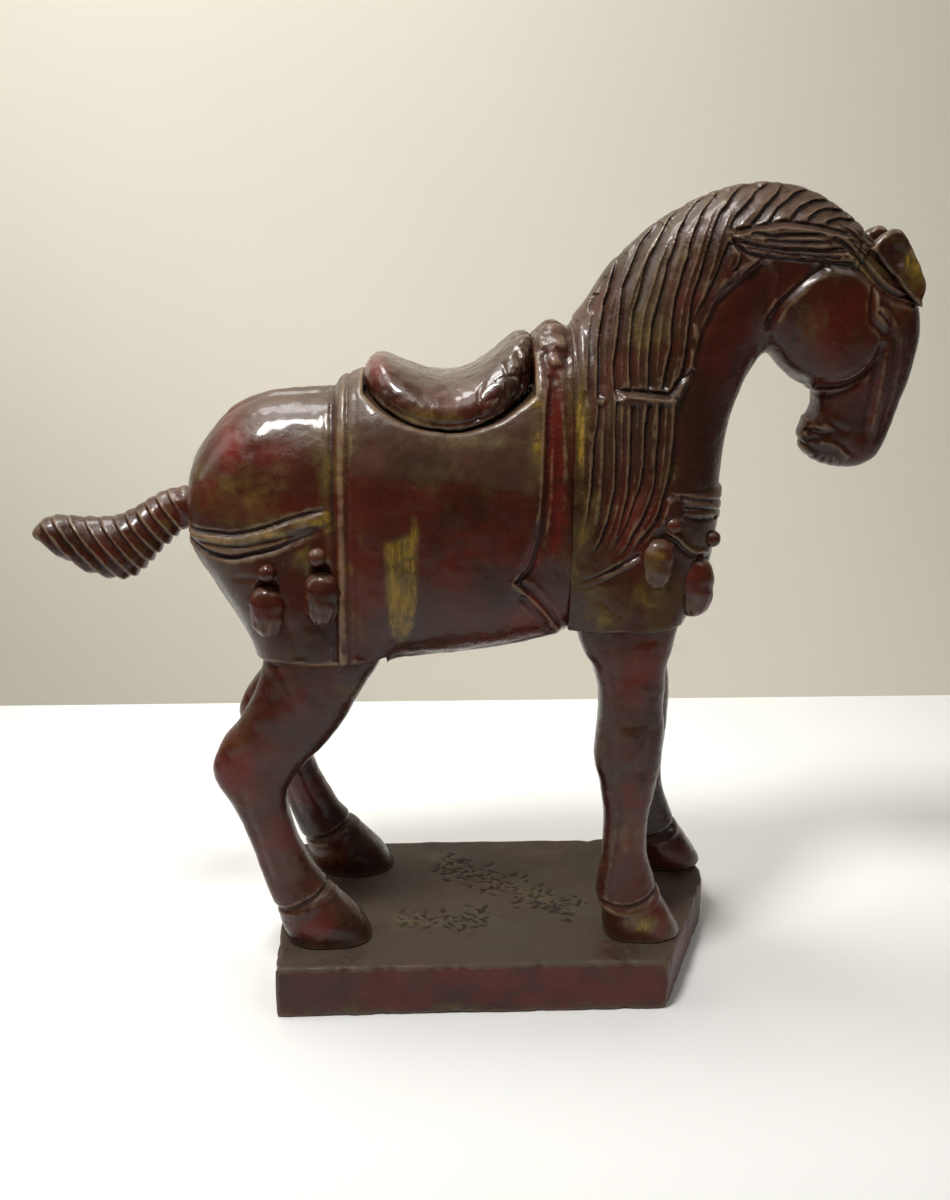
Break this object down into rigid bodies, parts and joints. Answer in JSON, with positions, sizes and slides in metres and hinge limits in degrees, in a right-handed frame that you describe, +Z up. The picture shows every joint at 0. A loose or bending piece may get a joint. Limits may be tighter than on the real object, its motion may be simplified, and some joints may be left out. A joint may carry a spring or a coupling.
{
  "type": "carved wooden horse figurine",
  "caption": "Free-standing carved and lacquered horse with bowed head, saddle, harness tassels and plug-in tail on a slab base with a cut corner.",
  "frame": {"origin": "centre of the base's underside", "axes": "+X towards the head along the slab, +Y towards the horse's left side, +Z up"},
  "size_m": [0.3657, 0.105, 0.3439],
  "materials": {
    "lacquered_wood": "worn red-brown lacquer with ochre rub, semi-gloss",
    "slab_wood": "dusty dark red-brown lacquer, satin",
    "saddle_lacquer": "dark red lacquer, glossy",
    "gilded_wood": "red-brown lacquer with much ochre rub, semi-gloss",
    "bare_wood": "unfinished dowel wood"
  },
  "bodies": {
    "horse": {"base": "slab_wood", "torso": "lacquered_wood", "neck_and_head": "lacquered_wood", "ear_right": "gilded_wood", "ear_left": "gilded_wood", "saddle": "saddle_lacquer", "foreleg_right": "lacquered_wood", "foreleg_left": "lacquered_wood", "hindleg_right": "lacquered_wood", "hindleg_left": "lacquered_wood", "leg_dowels": "bare_wood", "hoof_pegs": "bare_wood", "neck_dowels": "bare_wood", "saddle_pegs": "bare_wood", "rump_beads": "gilded_wood", "chest_beads": "gilded_wood", "rump_tassels": "gilded_wood", "chest_tassels": "gilded_wood"},
    "tail": {"tail": "lacquered_wood"}
  },
  "joints": [
    {"name": "tail_pull", "type": "slide", "parent": "horse", "child": "tail", "axis": [-1, 0, 0], "range_m": [0, 0.026]}
  ]
}
